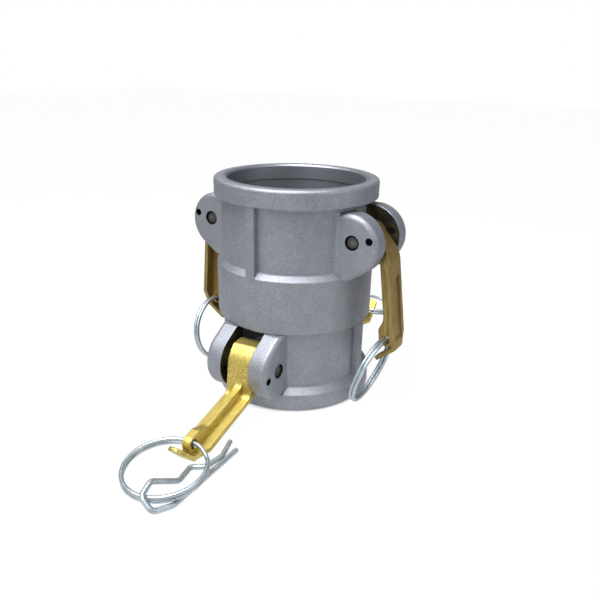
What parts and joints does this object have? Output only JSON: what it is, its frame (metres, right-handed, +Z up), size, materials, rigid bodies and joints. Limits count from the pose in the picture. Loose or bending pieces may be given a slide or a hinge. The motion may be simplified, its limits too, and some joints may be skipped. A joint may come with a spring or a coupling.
{
  "type": "double cam and groove coupling",
  "caption": "Double female cam and groove coupling for pipe or hose: two sockets cast back to back, each with a pair of cam arms on pull rings.",
  "frame": {"origin": "centre of the lower mouth, on the bore's axis, in the plane the coupling stands on", "axes": "+Z up the bore to the upper mouth; the upper pair of cam arms lies on +X and -X, the lower pair on -Y (front) and +Y (back)"},
  "size_m": [0.1106, 0.2359, 0.1022],
  "materials": {
    "cast_aluminium": "blasted casting",
    "cast_brass": "tumbled casting",
    "pin_steel": "plain ends",
    "plated_wire": "bright zinc plated",
    "gasket_rubber": "matt black"
  },
  "bodies": {
    "coupling": {"coupling_body": "cast_aluminium", "upper_gasket": "gasket_rubber", "lower_gasket": "gasket_rubber", "upper_right_pivot_pin": "pin_steel", "upper_left_pivot_pin": "pin_steel", "lower_front_pivot_pin": "pin_steel", "lower_back_pivot_pin": "pin_steel"},
    "upper_right_arm": {"upper_right_cam_arm": "cast_brass"},
    "upper_right_ring": {"upper_right_pull_ring": "plated_wire"},
    "upper_left_arm": {"upper_left_cam_arm": "cast_brass"},
    "upper_left_ring": {"upper_left_pull_ring": "plated_wire"},
    "lower_front_arm": {"lower_front_cam_arm": "cast_brass"},
    "lower_front_ring": {"lower_front_pull_ring": "plated_wire"},
    "lower_back_arm": {"lower_back_cam_arm": "cast_brass"},
    "lower_back_ring": {"lower_back_pull_ring": "plated_wire"},
    "clip": {"safety_clip": "plated_wire"}
  },
  "joints": [
    {"name": "upper_right_cam", "type": "hinge", "parent": "coupling", "child": "upper_right_arm", "pos_m": [0.0379, 0, 0.0798], "axis": [0, -1, 0], "range_deg": [-1, 117]},
    {"name": "upper_left_cam", "type": "hinge", "parent": "coupling", "child": "upper_left_arm", "pos_m": [-0.0379, 0, 0.0798], "axis": [0, 1, 0], "range_deg": [-1.5, 120.5]},
    {"name": "lower_front_cam", "type": "hinge", "parent": "coupling", "child": "lower_front_arm", "pos_m": [0, -0.0379, 0.0223], "axis": [1, 0, 0], "range_deg": [-97, 22.5]},
    {"name": "lower_back_cam", "type": "hinge", "parent": "coupling", "child": "lower_back_arm", "pos_m": [0, 0.0379, 0.0223], "axis": [-1, 0, 0], "range_deg": [-97, 22.5]},
    {"name": "upper_right_ring_swing", "type": "hinge", "parent": "upper_right_arm", "child": "upper_right_ring", "pos_m": [0.05037, 0, 0.03259], "axis": [0, 1, 0], "range_deg": [-100, 2]},
    {"name": "upper_left_ring_swing", "type": "hinge", "parent": "upper_left_arm", "child": "upper_left_ring", "pos_m": [-0.04747, 0, 0.03192], "axis": [0, -1, 0], "range_deg": [-100, 6]},
    {"name": "lower_front_ring_swing", "type": "hinge", "parent": "lower_front_arm", "child": "lower_front_ring", "pos_m": [0.00444, -0.08405, 0.00698], "axis": [-0.9956, -0.0941, 0], "range_deg": [-85, 163]},
    {"name": "lower_back_ring_swing", "type": "hinge", "parent": "lower_back_arm", "child": "lower_back_ring", "pos_m": [0, 0.08426, 0.00697], "axis": [1, 0, 0], "range_deg": [-166, 166]},
    {"name": "clip_slide_round_ring", "type": "hinge", "parent": "lower_front_ring", "child": "clip", "pos_m": [0.00595, -0.1, 0.00544], "axis": [0.009, -0.0954, 0.9954], "range_deg": [-120, 0]}
  ]
}
